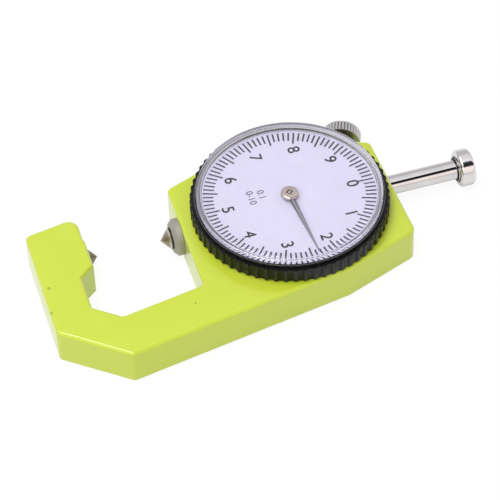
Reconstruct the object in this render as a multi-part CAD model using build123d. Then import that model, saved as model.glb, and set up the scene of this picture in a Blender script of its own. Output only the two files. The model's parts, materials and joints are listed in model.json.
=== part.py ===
from build123d import *
import os
from math import acos, atan2, cos, degrees, hypot, pi, radians, sin, sqrt, tan

# Dial thickness gauge: a painted C-shaped frame with a fixed pointed anvil, and a rack spindle
# that turns the pointer of a dial through a small pinion.
# Millimetres. The origin is where the pointer's axis meets the flat back of the gauge.
# +X runs along the spindle towards its lifting knob, and +Z out of the dial.
# It stands as photographed: the spindle drawn fully back and held there by the lock screw.

# Running and pressed fits, and how far a cut runs past the face it opens
SLIDING_FIT = 0.04
PRESS_FIT = 0.01
SEAT_GAP = 0.05
WORKING_GAP = 0.20
CUT_PAST = 1.0

# Rack and pinion: one turn of the pointer is ten millimetres of spindle travel
TRAVEL_PER_TURN = 10.0
PINION_TEETH = 16
PRESSURE_ANGLE = 20.0
DEDENDUM_IN_MODULES = 1.25
TOOTH_BACKLASH = 0.05
SPINDLE_TRAVEL = 12.34

# Frame, in plan
FRAME_THICKNESS = 7.8
ARM_WIDTH = 7.75
ARM_TIP_WIDTH = 10.35
ARM_TIP_Y = 10.4
BOSS_PROUD = 0.25
BOSS_ABOVE_SPINDLE = 1.45
BOSS_BELOW_SPINDLE = 5.1
BOSS_BEVEL_DROP = 2.3
MITRE_ANGLE = 37.7
MITRE_START_Y = -16.3
MITRE_WIDTH = 8.05
BEAM_ANGLE = 9.5
BEAM_WIDTH = 9.35
HEEL_X = 6.0
HEEL_Y = -18.2
BODY_FRONT = 21.0
BODY_REAR = 20.0
FRONT_CORNER_Y = 12.0
REAR_CORNER_Y = 11.7
REAR_FOOT_X = 20.85
REAR_FOOT_Y = -12.8
CROWN_RADIUS = 18.45
CORNER_FILLET = 1.3
FOOT_FILLET = 1.8
THROAT_TIP_FILLET = 2.1
INNER_FILLET = 0.8
EDGE_ROUND = 0.7
BACK_CHAMFER = 0.3

# Frame, hollows in the dial body
COVER_RADIUS = 15.0
COVER_THICKNESS = 0.9
PLATE_THICKNESS = 0.8
CAVITY_RADIUS = 12.5
DECK_THICKNESS = 1.4
SPIGOT_RADIUS = 16.2
SPIGOT_HEIGHT = 2.4

# Spindle and what is carried on it
SPINDLE_RADIUS = 1.9
RACK_FLAT_DEPTH = 0.43
RACK_SPARE_TEETH = 3
TIP_RADIUS = 2.1
TIP_CONE_HEIGHT = 1.8
TIP_RIM = 0.4
TIP_STUD_RADIUS = 1.0
TIP_STUD_LENGTH = 3.0
COLLAR_RADIUS = 3.6
COLLAR_WIDTH = 1.7
COLLAR_CHAMFER = 0.7
KNOB_RADIUS = 3.65
KNOB_WIDTH = 3.3
KNOB_STANDOFF = 14.4
KNOB_EDGE_ROUND = 0.8
KNOB_EDGE_STEPS = 2
KNOB_INNER_CHAMFER = 0.6
KNOB_SOCKET_DEPTH = 2.2
KNOB_NECK_RADIUS = 2.35
KNOB_NECK_LENGTH = 0.35
BUSHING_WALL = 0.8

# Guide pin, its slotted rail, and the return spring
PIN_RADIUS = 0.6
PIN_REST_X = 8.0
PIN_SIDE_GAP = 0.1
RAIL_WIDTH = 1.0
RAIL_OFFSET = 0.45
RAIL_OVERRUN = 0.5
SPRING_COIL_RADIUS = 0.8
SPRING_WIRE = 0.2
SPRING_TURNS = 7
SPRING_SIDES = 8
SPRING_OFFSET = 4.5
SPRING_POST_RADIUS = 0.6
SPRING_CLOSED_LENGTH = 4.2
HOOK_LENGTH = 0.6

# Arbor, hairspring and pointer
ARBOR_RADIUS = 0.6
PIVOT_RADIUS = 0.35
POINTER_SEAT_RADIUS = 0.4
POINTER_SEAT_LENGTH = 0.4
PINION_LENGTH = 3.0
ARBOR_BUSHING_RADIUS = 1.6
COLLET_RADIUS = 1.15
COLLET_HEIGHT = 0.8
HAIRSPRING_TURNS = 3
HAIRSPRING_STEPS = 14
HAIRSPRING_REACH = 5.6
HAIRSPRING_POCKET_RADIUS = 6.8
HAIRSPRING_THICKNESS = 0.12
HAIRSPRING_HEIGHT = 0.5
STUD_RADIUS = 0.6
STUD_HEIGHT = 1.0
POINTER_ZERO_ANGLE = -2.1
POINTER_LENGTH = 15.3
POINTER_ROOT_WIDTH = 1.05
POINTER_TIP_WIDTH = 0.16
POINTER_THICKNESS = 0.18
HUB_RADIUS = 1.7
HUB_HEIGHT = 0.75
HUB_NUB_RADIUS = 0.45
HUB_NUB_HEIGHT = 0.1
POINTER_CLEARANCE = 0.4

# Bezel, dial and crystal
BEZEL_CLEARANCE = 0.3
BEZEL_WALL = 1.25
LIP_WALL = 0.8
LIP_TOP_WALL = 0.4
KNURL_HEIGHT = 2.45
LIP_HEIGHT = 0.55
KNURLS = 64
KNURL_DEPTH = 0.32
KNURL_MOUTH = 1.05
KNURL_FLOOR = 0.4
SNAP_RING_SIZE = 0.7
SNAP_RING_BITE = 0.3
SNAP_RING_GAP_ANGLE = 24.0
BEZEL_SHOULDER = 0.8
DIAL_THICKNESS = 0.4
DIAL_HOLE_RADIUS = 1.3
CRYSTAL_OVERHANG = 1.5
CRYSTAL_WALL = 0.95
CRYSTAL_TOP_THICKNESS = 0.8
CRYSTAL_HEIGHT = 2.2
CRYSTAL_EDGE = 0.3

# Lock screw: its axis leans to the body's rear shoulder
LOCK_OFFSET = 8.15
LOCK_SHANK_RADIUS = 1.5
LOCK_POINT_RADIUS = 1.0
LOCK_POINT_LENGTH = 1.0
LOCK_NECK_RADIUS = 2.4
LOCK_NECK_LENGTH = 1.6
LOCK_HEAD_STANDOFF = 3.0
LOCK_HEAD_RADIUS = 3.8
LOCK_HEAD_WIDTH = 2.3
LOCK_KNURLS = 36
LOCK_KNURL_DEPTH = 0.22
LOCK_KNURL_ANGLE = 90.0

# Places that follow from the sizes above
PITCH_RADIUS = TRAVEL_PER_TURN / (2 * pi)
TOOTH_MODULE = 2 * PITCH_RADIUS / PINION_TEETH
TOOTH_PITCH = pi * TOOTH_MODULE
DEDENDUM = DEDENDUM_IN_MODULES * TOOTH_MODULE
RACK_TIP_Y = PITCH_RADIUS - TOOTH_MODULE
RACK_ROOT_Y = PITCH_RADIUS + DEDENDUM
SPINDLE_Y = RACK_TIP_Y + SPINDLE_RADIUS - RACK_FLAT_DEPTH
SPINDLE_Z = FRAME_THICKNESS / 2
POINTER_REST_ANGLE = POINTER_ZERO_ANGLE - 360 * (SPINDLE_TRAVEL / TRAVEL_PER_TURN)

BUSHING_RADIUS = SPINDLE_RADIUS + BUSHING_WALL
BUSHING_INNER_X = COVER_RADIUS + WORKING_GAP
COLLAR_BACK_X = -BODY_FRONT - SEAT_GAP
COLLAR_FACE_X = COLLAR_BACK_X - COLLAR_WIDTH
TIP_BASE_X = COLLAR_FACE_X - TIP_RIM
TIP_POINT_X = TIP_BASE_X - TIP_CONE_HEIGHT
ANVIL_POINT_X = TIP_POINT_X - SPINDLE_TRAVEL - SEAT_GAP
BOSS_FACE_X = ANVIL_POINT_X - TIP_CONE_HEIGHT
ARM_TIP_X = BOSS_FACE_X - BOSS_PROUD
ARM_OUTER_X = ARM_TIP_X - ARM_TIP_WIDTH
ARM_INNER_X = ARM_OUTER_X + ARM_WIDTH
KNOB_FACE_X = BODY_REAR + KNOB_STANDOFF
KNOB_END_X = KNOB_FACE_X + KNOB_WIDTH

DECK_BOTTOM = FRAME_THICKNESS - DECK_THICKNESS
PLATE_TOP = COVER_THICKNESS + PLATE_THICKNESS
RAIL_Y = SPINDLE_Y + SPINDLE_RADIUS + RAIL_OFFSET
RAIL_START_X = PIN_REST_X - SPINDLE_TRAVEL - PIN_RADIUS - RAIL_OVERRUN
RAIL_END_X = PIN_REST_X + PIN_RADIUS + RAIL_OVERRUN
SPRING_Y = SPINDLE_Y + SPRING_OFFSET
SPRING_POST_X = PIN_REST_X - SPINDLE_TRAVEL - SPRING_CLOSED_LENGTH
PIN_END_Y = SPRING_Y + SPRING_COIL_RADIUS

CRYSTAL_RADIUS = SPIGOT_RADIUS + CRYSTAL_OVERHANG
BEZEL_RADIUS = CRYSTAL_RADIUS + BEZEL_WALL
BEZEL_BOTTOM = FRAME_THICKNESS + BEZEL_CLEARANCE
SHOULDER_TOP = BEZEL_BOTTOM + BEZEL_SHOULDER
SNAP_RING_BOTTOM = SHOULDER_TOP + SEAT_GAP
SNAP_RING_INNER = SPIGOT_RADIUS - SNAP_RING_BITE
KNURL_TOP = BEZEL_BOTTOM + KNURL_HEIGHT
BEZEL_TOP = KNURL_TOP + LIP_HEIGHT
SPIGOT_TOP = FRAME_THICKNESS + SPIGOT_HEIGHT
DIAL_BOTTOM = SPIGOT_TOP + SEAT_GAP
DIAL_TOP = DIAL_BOTTOM + DIAL_THICKNESS
CRYSTAL_TOP = DIAL_TOP + CRYSTAL_HEIGHT
CRYSTAL_CEILING = CRYSTAL_TOP - CRYSTAL_TOP_THICKNESS
POINTER_Z = DIAL_TOP + POINTER_CLEARANCE
COLLET_Z = FRAME_THICKNESS + WORKING_GAP


def solid_of(shape):
    """The single solid of a shape, so that each piece is exported as one body."""
    return shape.solids()[0]


def disc(radius, bottom, top, x=0.0, y=0.0):
    """An upright cylinder between two heights."""
    body = Cylinder(radius, top - bottom, align=(Align.CENTER, Align.CENTER, Align.MIN))
    return Pos(x, y, bottom) * body


def ring(outer, inner, bottom, top):
    """An upright ring between two heights."""
    return disc(outer, bottom, top) - disc(inner, bottom, top)


def turned(profile):
    """A piece turned about the pointer's axis from (radius, height) points."""
    return revolve(Plane.XZ * make_face(Polyline(*profile, close=True)), Axis.Z)


def turned_on_spindle(profile):
    """A piece turned about the spindle's axis from (x, radius) points."""
    body = revolve(make_face(Polyline(*profile, close=True)), Axis.X)
    return Pos(0, SPINDLE_Y, SPINDLE_Z) * body


def rod_on_spindle(radius, start, end):
    """A plain cylinder along the spindle's axis."""
    return turned_on_spindle([(start, 0), (end, 0), (end, radius), (start, radius)])


def block(x_range, y_range, z_range):
    """A box given by its lowest and highest corners."""
    size = [high - low for low, high in (x_range, y_range, z_range)]
    body = Box(*size, align=(Align.MIN, Align.MIN, Align.MIN))
    return Pos(x_range[0], y_range[0], z_range[0]) * body


def crossing(point_a, angle_a, point_b, angle_b):
    """Where two lines in plan meet, each given by a point and its angle in degrees."""
    ax, ay = cos(radians(angle_a)), sin(radians(angle_a))
    bx, by = cos(radians(angle_b)), sin(radians(angle_b))
    dx, dy = point_b[0] - point_a[0], point_b[1] - point_a[1]
    along = (dx * by - dy * bx) / (ax * by - ay * bx)
    return point_a[0] + along * ax, point_a[1] + along * ay


def beside(point, angle, distance):
    """The point that far to the left of a line at this angle."""
    return point[0] - distance * sin(radians(angle)), point[1] + distance * cos(radians(angle))


def tangent_angle(corner, side):
    """Angle, seen from the centre, where the line from a corner touches the crown's circle."""
    reach = hypot(*corner)
    return degrees(atan2(corner[1], corner[0]) + side * acos(CROWN_RADIUS / reach))


def on_crown(angle):
    """The point of the crown's circle at this angle."""
    return CROWN_RADIUS * cos(radians(angle)), CROWN_RADIUS * sin(radians(angle))


REAR_CORNER = (BODY_REAR, REAR_CORNER_Y)
FRONT_CORNER = (-BODY_FRONT, FRONT_CORNER_Y)
REAR_SHOULDER_ANGLE = tangent_angle(REAR_CORNER, 1)
FRONT_SHOULDER_ANGLE = tangent_angle(FRONT_CORNER, -1)


def frame_outline():
    """The C-shaped outline of the casting, seen from the dial side."""
    mitre_outer = (ARM_OUTER_X, MITRE_START_Y)
    beam_outer = (HEEL_X, HEEL_Y)
    mitre_inner = beside(mitre_outer, -MITRE_ANGLE, MITRE_WIDTH)
    beam_inner = beside(beam_outer, BEAM_ANGLE, BEAM_WIDTH)
    boss_top = SPINDLE_Y + BOSS_ABOVE_SPINDLE
    boss_foot = SPINDLE_Y - BOSS_BELOW_SPINDLE
    boss_bevel = (ARM_INNER_X, boss_foot - BOSS_BEVEL_DROP)
    elbow_outer = crossing(mitre_outer, -MITRE_ANGLE, beam_outer, BEAM_ANGLE)
    elbow_arm = crossing((ARM_INNER_X, 0), 90, mitre_inner, -MITRE_ANGLE)
    elbow_beam = crossing(mitre_inner, -MITRE_ANGLE, beam_inner, BEAM_ANGLE)
    throat_corner = crossing(beam_inner, BEAM_ANGLE, (-BODY_FRONT, 0), 90)
    arm_tip_inner = (ARM_TIP_X, ARM_TIP_Y)
    arm_tip_outer = crossing(arm_tip_inner, BEAM_ANGLE, (ARM_OUTER_X, 0), 90)
    rear_foot = (REAR_FOOT_X, REAR_FOOT_Y)
    crown_front = on_crown(FRONT_SHOULDER_ANGLE)
    crown_rear = on_crown(REAR_SHOULDER_ANGLE)
    straight_sides = [
        crown_front,
        FRONT_CORNER,
        throat_corner,
        elbow_beam,
        elbow_arm,
        boss_bevel,
        (BOSS_FACE_X, boss_foot),
        (BOSS_FACE_X, boss_top),
        (ARM_TIP_X, boss_top + BOSS_PROUD),
        arm_tip_inner,
        arm_tip_outer,
        mitre_outer,
        elbow_outer,
        beam_outer,
        rear_foot,
        REAR_CORNER,
        crown_rear,
    ]
    crown = ThreePointArc(crown_rear, on_crown(90), crown_front)
    face = make_face(Polyline(*straight_sides) + crown)
    rounded = (
        (INNER_FILLET, (throat_corner, elbow_beam, elbow_arm, boss_bevel)),
        (CORNER_FILLET, (FRONT_CORNER, REAR_CORNER, arm_tip_outer, mitre_outer, elbow_outer)),
        (FOOT_FILLET, (rear_foot,)),
        (THROAT_TIP_FILLET, (arm_tip_inner,)),
    )
    for radius, corners in rounded:
        for corner in corners:
            vertex = face.vertices().sort_by_distance(Vector(*corner))[0]
            face = fillet(vertex, radius)
    return face


def lock_placed(shape):
    """Carries a piece drawn upright at the centre onto the lock screw's axis."""
    lean = radians(REAR_SHOULDER_ANGLE)
    foot = (LOCK_OFFSET * sin(lean), -LOCK_OFFSET * cos(lean), SPINDLE_Z)
    axis = Vector(cos(lean), sin(lean), 0)
    return Plane(origin=foot, x_dir=Vector(0, 0, 1), z_dir=axis) * shape


def lock_point_height():
    """How far along its axis the lock screw's point stops, just short of the spindle."""
    lean = radians(REAR_SHOULDER_ANGLE)
    spindle_top = SPINDLE_Y + SPINDLE_RADIUS + SEAT_GAP
    return (spindle_top + (LOCK_OFFSET + LOCK_POINT_RADIUS) * cos(lean)) / sin(lean)


def make_frame():
    """The painted casting: C frame, dial body with its hollows, and the bezel's spigot."""
    body = extrude(frame_outline(), FRAME_THICKNESS)
    body = fillet(body.faces().sort_by(Axis.Z)[-1].edges(), EDGE_ROUND)
    body = chamfer(body.faces().sort_by(Axis.Z)[0].edges(), BACK_CHAMFER)
    body += ring(SPIGOT_RADIUS, HAIRSPRING_POCKET_RADIUS, FRAME_THICKNESS, SPIGOT_TOP)
    groove_top = SNAP_RING_BOTTOM + SNAP_RING_SIZE + SEAT_GAP
    body -= ring(SPIGOT_RADIUS + CUT_PAST, SNAP_RING_INNER - PRESS_FIT, SNAP_RING_BOTTOM, groove_top)
    body -= disc(COVER_RADIUS, 0, PLATE_TOP)
    body -= disc(CAVITY_RADIUS, 0, DECK_BOTTOM)
    body -= rod_on_spindle(BUSHING_RADIUS + PRESS_FIT, -BODY_FRONT - CUT_PAST, BODY_REAR + CUT_PAST)
    body -= rod_on_spindle(TIP_STUD_RADIUS + PRESS_FIT, BOSS_FACE_X - TIP_STUD_LENGTH - SEAT_GAP, BOSS_FACE_X)
    body -= disc(ARBOR_BUSHING_RADIUS + PRESS_FIT, DECK_BOTTOM, FRAME_THICKNESS)
    body -= lock_placed(disc(LOCK_SHANK_RADIUS + SLIDING_FIT, lock_point_height(), CROWN_RADIUS + CUT_PAST))
    return solid_of(body)


def make_back_cover():
    """The thin round cover, flush in the back."""
    return disc(COVER_RADIUS - SEAT_GAP, 0, COVER_THICKNESS)


def make_movement_plate():
    """The brass plate over the movement, seated in the recess under the back cover."""
    return ring(COVER_RADIUS - SEAT_GAP, PIVOT_RADIUS + SLIDING_FIT, COVER_THICKNESS, PLATE_TOP)


def make_guide_rail():
    """The brass rail between plate and deck, slotted along X for the guide pin."""
    rail_range = (RAIL_Y, RAIL_Y + RAIL_WIDTH)
    half_slot = PIN_RADIUS + PIN_SIDE_GAP
    rail = block((RAIL_START_X, RAIL_END_X), rail_range, (PLATE_TOP, DECK_BOTTOM))
    slot_x = (PIN_REST_X - SPINDLE_TRAVEL - half_slot, PIN_REST_X + half_slot)
    return rail - block(slot_x, rail_range, (SPINDLE_Z - half_slot, SPINDLE_Z + half_slot))


def make_bushing(start, end):
    """A plain bronze bushing that the spindle slides in."""
    bore = rod_on_spindle(SPINDLE_RADIUS + SLIDING_FIT, start, end)
    return rod_on_spindle(BUSHING_RADIUS, start, end) - bore


def rack_gap(centre_x):
    """The space between two rack teeth, as an upright prism."""
    flank = tan(radians(PRESSURE_ANGLE))
    half_pitch_line = TOOTH_PITCH / 4 + TOOTH_BACKLASH / 4
    mouth_y = SPINDLE_Y - SPINDLE_RADIUS
    half_mouth = half_pitch_line + (PITCH_RADIUS - mouth_y) * flank
    half_root = half_pitch_line - DEDENDUM * flank
    outline = Polyline(
        (centre_x - half_mouth, mouth_y),
        (centre_x - half_root, RACK_ROOT_Y),
        (centre_x + half_root, RACK_ROOT_Y),
        (centre_x + half_mouth, mouth_y),
        close=True,
    )
    return extrude(make_face(outline), FRAME_THICKNESS)


def make_spindle():
    """The chromed spindle with rack teeth cut in the side that faces the pinion."""
    rod = rod_on_spindle(SPINDLE_RADIUS, COLLAR_FACE_X, KNOB_FACE_X + KNOB_SOCKET_DEPTH)
    last_tooth = int(SPINDLE_TRAVEL / TOOTH_PITCH) + RACK_SPARE_TEETH
    flat_start = -(RACK_SPARE_TEETH + 0.5) * TOOTH_PITCH
    flat_end = (last_tooth + 0.5) * TOOTH_PITCH
    rod -= block((flat_start, flat_end), (SPINDLE_Y - SPINDLE_RADIUS, RACK_TIP_Y), (0, FRAME_THICKNESS))
    rod -= [rack_gap(k * TOOTH_PITCH) for k in range(-RACK_SPARE_TEETH, last_tooth + 1)]
    stud_end = COLLAR_FACE_X + TIP_STUD_LENGTH + SEAT_GAP
    rod -= rod_on_spindle(TIP_STUD_RADIUS + PRESS_FIT, COLLAR_FACE_X, stud_end)
    rod -= guide_pin_rod(PIN_RADIUS + PRESS_FIT)
    return solid_of(rod)


def guide_pin_rod(radius):
    """A cylinder on the guide pin's axis, from the middle of the spindle outwards."""
    length = PIN_END_Y - SPINDLE_Y
    body = Cylinder(radius, length, align=(Align.CENTER, Align.CENTER, Align.MIN))
    return Plane(origin=(PIN_REST_X, SPINDLE_Y, SPINDLE_Z), z_dir=(0, 1, 0)) * body


def make_contact_point():
    """The moving point: a cone, its bright rim and the stud in the spindle's end."""
    profile = [
        (TIP_POINT_X, 0),
        (TIP_BASE_X, TIP_RADIUS),
        (COLLAR_FACE_X, TIP_RADIUS),
        (COLLAR_FACE_X, TIP_STUD_RADIUS),
        (COLLAR_FACE_X + TIP_STUD_LENGTH, TIP_STUD_RADIUS),
        (COLLAR_FACE_X + TIP_STUD_LENGTH, 0),
    ]
    return turned_on_spindle(profile)


def make_anvil_point():
    """The fixed point, pressed into the boss of the arm."""
    profile = [
        (ANVIL_POINT_X, 0),
        (BOSS_FACE_X, TIP_RADIUS),
        (BOSS_FACE_X, TIP_STUD_RADIUS),
        (BOSS_FACE_X - TIP_STUD_LENGTH, TIP_STUD_RADIUS),
        (BOSS_FACE_X - TIP_STUD_LENGTH, 0),
    ]
    return turned_on_spindle(profile)


def make_tip_collar():
    """The stop collar on the spindle's front end, chamfered on its free edge."""
    profile = [
        (COLLAR_FACE_X, SPINDLE_RADIUS + PRESS_FIT),
        (COLLAR_FACE_X, COLLAR_RADIUS - COLLAR_CHAMFER),
        (COLLAR_FACE_X + COLLAR_CHAMFER, COLLAR_RADIUS),
        (COLLAR_BACK_X, COLLAR_RADIUS),
        (COLLAR_BACK_X, SPINDLE_RADIUS + PRESS_FIT),
    ]
    return turned_on_spindle(profile)


def make_lifting_knob():
    """The chromed knob: a rounded head with a small neck, socketed on the spindle's end."""
    body_start = KNOB_FACE_X + KNOB_NECK_LENGTH
    profile = [
        (KNOB_FACE_X, 0),
        (KNOB_FACE_X, KNOB_NECK_RADIUS),
        (body_start, KNOB_NECK_RADIUS),
        (body_start, KNOB_RADIUS - KNOB_INNER_CHAMFER),
        (body_start + KNOB_INNER_CHAMFER, KNOB_RADIUS),
    ]
    for k in range(KNOB_EDGE_STEPS + 1):
        turn = pi / 2 * k / KNOB_EDGE_STEPS
        x = KNOB_END_X - KNOB_EDGE_ROUND * (1 - sin(turn))
        profile.append((x, KNOB_RADIUS - KNOB_EDGE_ROUND * (1 - cos(turn))))
    profile.append((KNOB_END_X, 0))
    knob = turned_on_spindle(profile)
    socket = rod_on_spindle(SPINDLE_RADIUS + PRESS_FIT, KNOB_FACE_X, KNOB_FACE_X + KNOB_SOCKET_DEPTH)
    return solid_of(knob - socket)


def spring_path():
    """Corner points of the return spring's wire: a hook, the stretched coil and a hook."""
    coil_start = SPRING_POST_X + SPRING_POST_RADIUS + HOOK_LENGTH
    coil_end = PIN_REST_X - PIN_RADIUS - HOOK_LENGTH
    step = 2 * pi / SPRING_SIDES
    post_loop = (SPRING_POST_RADIUS + SPRING_WIRE + SEAT_GAP) / cos(step / 2)
    pin_loop = (PIN_RADIUS + SPRING_WIRE + SEAT_GAP) / cos(step / 2)
    loop_steps = 3 * SPRING_SIDES // 4
    points = []
    for k in range(-loop_steps, 1):
        turn = pi / 2 - k * step
        points.append((SPRING_POST_X + post_loop * cos(turn), SPRING_Y + post_loop * sin(turn), SPINDLE_Z))
    coil_steps = SPRING_SIDES * SPRING_TURNS + SPRING_SIDES // 4
    for k in range(coil_steps + 1):
        x = coil_start + (coil_end - coil_start) * k / coil_steps
        y = SPRING_Y + SPRING_COIL_RADIUS * cos(k * step)
        points.append((x, y, SPINDLE_Z + SPRING_COIL_RADIUS * sin(k * step)))
    for k in range(loop_steps + 1):
        turn = pi / 2 - k * step
        points.append((PIN_REST_X + pin_loop * cos(turn), SPRING_Y, SPINDLE_Z + pin_loop * sin(turn)))
    return points


def make_return_spring():
    """The extension spring from its post to the guide pin, stretched as the spindle is back."""
    path = Polyline(*spring_path())
    section = Plane(origin=path @ 0, z_dir=path % 0) * Rectangle(SPRING_WIRE, SPRING_WIRE)
    return solid_of(sweep(section, path=path, transition=Transition.RIGHT))


def make_spring_post():
    """The post that holds the fixed end of the return spring."""
    bottom = SPINDLE_Z - SPRING_COIL_RADIUS
    return disc(SPRING_POST_RADIUS, bottom, DECK_BOTTOM, SPRING_POST_X, SPRING_Y)


def pinion_outline():
    """The pinion's outline: involute flanks on straight roots, a tooth pointing at the rack."""
    base_radius = PITCH_RADIUS * cos(radians(PRESSURE_ANGLE))
    root_radius = PITCH_RADIUS - DEDENDUM
    tip_radius = PITCH_RADIUS + TOOTH_MODULE

    def involute(radius):
        tilt = acos(min(1.0, base_radius / radius))
        return tan(tilt) - tilt

    def half_tooth(radius):
        pitch_half = (TOOTH_PITCH / 2 - TOOTH_BACKLASH / 2) / (2 * PITCH_RADIUS)
        return pitch_half + involute(PITCH_RADIUS) - involute(max(radius, base_radius))

    middle_radius = (base_radius + tip_radius) / 2
    radii = (root_radius, base_radius, middle_radius, tip_radius)
    rising = [(r, -half_tooth(r)) for r in radii]
    falling = [(r, half_tooth(r)) for r in reversed(radii)]
    points = []
    for tooth in range(PINION_TEETH):
        middle = pi / 2 + 2 * pi * tooth / PINION_TEETH
        points += [(r * cos(middle + turn), r * sin(middle + turn)) for r, turn in rising + falling]
    return points


def make_pinion_arbor():
    """The arbor with its pinion in one piece, from the lower pivot to the pointer's seat."""
    shoulder = PLATE_TOP + SEAT_GAP
    seat = POINTER_Z - SEAT_GAP
    arbor = disc(PIVOT_RADIUS, COVER_THICKNESS + SEAT_GAP, shoulder)
    arbor += disc(ARBOR_RADIUS, shoulder, seat)
    arbor += disc(POINTER_SEAT_RADIUS, seat, POINTER_Z + POINTER_SEAT_LENGTH)
    teeth = extrude(make_face(Polyline(*pinion_outline(), close=True)), PINION_LENGTH)
    return solid_of(arbor + Pos(0, 0, SPINDLE_Z - PINION_LENGTH / 2) * teeth)


def make_arbor_bushing():
    """The bushing in the deck that steadies the arbor below the pointer."""
    return ring(ARBOR_BUSHING_RADIUS, ARBOR_RADIUS + SLIDING_FIT, DECK_BOTTOM, FRAME_THICKNESS)


def make_hairspring_collet():
    """The brass collet on the arbor that holds the hairspring's inner end."""
    return ring(COLLET_RADIUS, ARBOR_RADIUS + PRESS_FIT, COLLET_Z, COLLET_Z + COLLET_HEIGHT)


def make_hairspring():
    """The flat spiral that takes up the backlash of rack and pinion."""
    start_radius = COLLET_RADIUS + HAIRSPRING_THICKNESS / 2
    end_radius = HAIRSPRING_REACH - STUD_RADIUS - HAIRSPRING_THICKNESS / 2
    steps = HAIRSPRING_TURNS * HAIRSPRING_STEPS

    def spiral(offset, k):
        turn = pi - 2 * pi * HAIRSPRING_TURNS + 2 * pi * HAIRSPRING_TURNS * k / steps
        radius = start_radius + (end_radius - start_radius) * k / steps + offset
        return radius * cos(turn), radius * sin(turn)

    half = HAIRSPRING_THICKNESS / 2
    inner = [spiral(-half, k) for k in range(steps + 1)]
    outer = [spiral(half, k) for k in reversed(range(steps + 1))]
    ribbon = extrude(make_face(Polyline(*inner, *outer, close=True)), HAIRSPRING_HEIGHT)
    return Pos(0, 0, COLLET_Z + (COLLET_HEIGHT - HAIRSPRING_HEIGHT) / 2) * ribbon


def make_hairspring_stud():
    """The stud in the deck that holds the hairspring's outer end."""
    return disc(STUD_RADIUS, FRAME_THICKNESS, FRAME_THICKNESS + STUD_HEIGHT, -HAIRSPRING_REACH)


def make_pointer_needle():
    """The tapering needle, from the hub's edge to the graduations."""
    half_root = POINTER_ROOT_WIDTH / 2
    half_tip = POINTER_TIP_WIDTH / 2
    root = sqrt(HUB_RADIUS**2 - half_root**2)
    outline = Polyline(
        (POINTER_SEAT_RADIUS + PRESS_FIT, -half_root),
        (root, -half_root),
        (POINTER_LENGTH, -half_tip),
        (POINTER_LENGTH, half_tip),
        (root, half_root),
        (POINTER_SEAT_RADIUS + PRESS_FIT, half_root),
        close=True,
    )
    blade = Pos(0, 0, POINTER_Z) * extrude(make_face(outline), POINTER_THICKNESS)
    return Rot(0, 0, POINTER_REST_ANGLE) * blade


def make_pointer_hub():
    """The nickelled hub of the pointer with its small centre nub."""
    top = POINTER_Z + HUB_HEIGHT
    hub = disc(HUB_RADIUS, POINTER_Z + POINTER_THICKNESS, top)
    hub += disc(HUB_NUB_RADIUS, top, top + HUB_NUB_HEIGHT)
    hub -= disc(POINTER_SEAT_RADIUS + PRESS_FIT, POINTER_Z, POINTER_Z + POINTER_SEAT_LENGTH + SEAT_GAP)
    return solid_of(hub)


def make_bezel():
    """The knurled ring that turns the dial on the frame's spigot."""
    bore = SPIGOT_RADIUS + SLIDING_FIT
    ring_bore = SNAP_RING_INNER + SNAP_RING_SIZE + WORKING_GAP
    seat = CRYSTAL_RADIUS + PRESS_FIT
    profile = [
        (bore, BEZEL_BOTTOM),
        (BEZEL_RADIUS, BEZEL_BOTTOM),
        (BEZEL_RADIUS, KNURL_TOP),
        (CRYSTAL_RADIUS + LIP_WALL, KNURL_TOP),
        (CRYSTAL_RADIUS + LIP_TOP_WALL, BEZEL_TOP),
        (seat, BEZEL_TOP),
        (seat, DIAL_BOTTOM),
        (ring_bore, DIAL_BOTTOM),
        (ring_bore, SHOULDER_TOP),
        (bore, SHOULDER_TOP),
    ]
    half_floor = KNURL_FLOOR / 2
    half_outside = KNURL_MOUTH - half_floor
    notch = Polyline(
        (BEZEL_RADIUS - KNURL_DEPTH, half_floor),
        (BEZEL_RADIUS + KNURL_DEPTH, half_outside),
        (BEZEL_RADIUS + KNURL_DEPTH, -half_outside),
        (BEZEL_RADIUS - KNURL_DEPTH, -half_floor),
        close=True,
    )
    flute = Pos(0, 0, BEZEL_BOTTOM) * extrude(make_face(notch), KNURL_HEIGHT)
    return solid_of(turned(profile) - [Rot(0, 0, 360 * k / KNURLS) * flute for k in range(KNURLS)])


def make_bezel_snap_ring():
    """The open spring ring in the spigot's groove that keeps the bezel's shoulder down."""
    outer = SNAP_RING_INNER + SNAP_RING_SIZE
    hoop = ring(outer, SNAP_RING_INNER, SNAP_RING_BOTTOM, SNAP_RING_BOTTOM + SNAP_RING_SIZE)
    half_gap = outer * tan(radians(SNAP_RING_GAP_ANGLE / 2))
    opening = block((0, outer + CUT_PAST), (-half_gap, half_gap), (SNAP_RING_BOTTOM, BEZEL_TOP))
    return solid_of(hoop - opening)


def make_dial_plate():
    """The dial's plate, which turns with the bezel."""
    return ring(CRYSTAL_RADIUS, DIAL_HOLE_RADIUS, DIAL_BOTTOM, DIAL_TOP)


def make_crystal():
    """The clear cover: a flat top on a low wall, standing proud of the bezel."""
    inner = CRYSTAL_RADIUS - CRYSTAL_WALL
    profile = [
        (0, CRYSTAL_CEILING),
        (inner, CRYSTAL_CEILING),
        (inner, DIAL_TOP),
        (CRYSTAL_RADIUS, DIAL_TOP),
        (CRYSTAL_RADIUS, CRYSTAL_TOP - CRYSTAL_EDGE),
        (CRYSTAL_RADIUS - CRYSTAL_EDGE, CRYSTAL_TOP),
        (0, CRYSTAL_TOP),
    ]
    return turned(profile)


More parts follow.
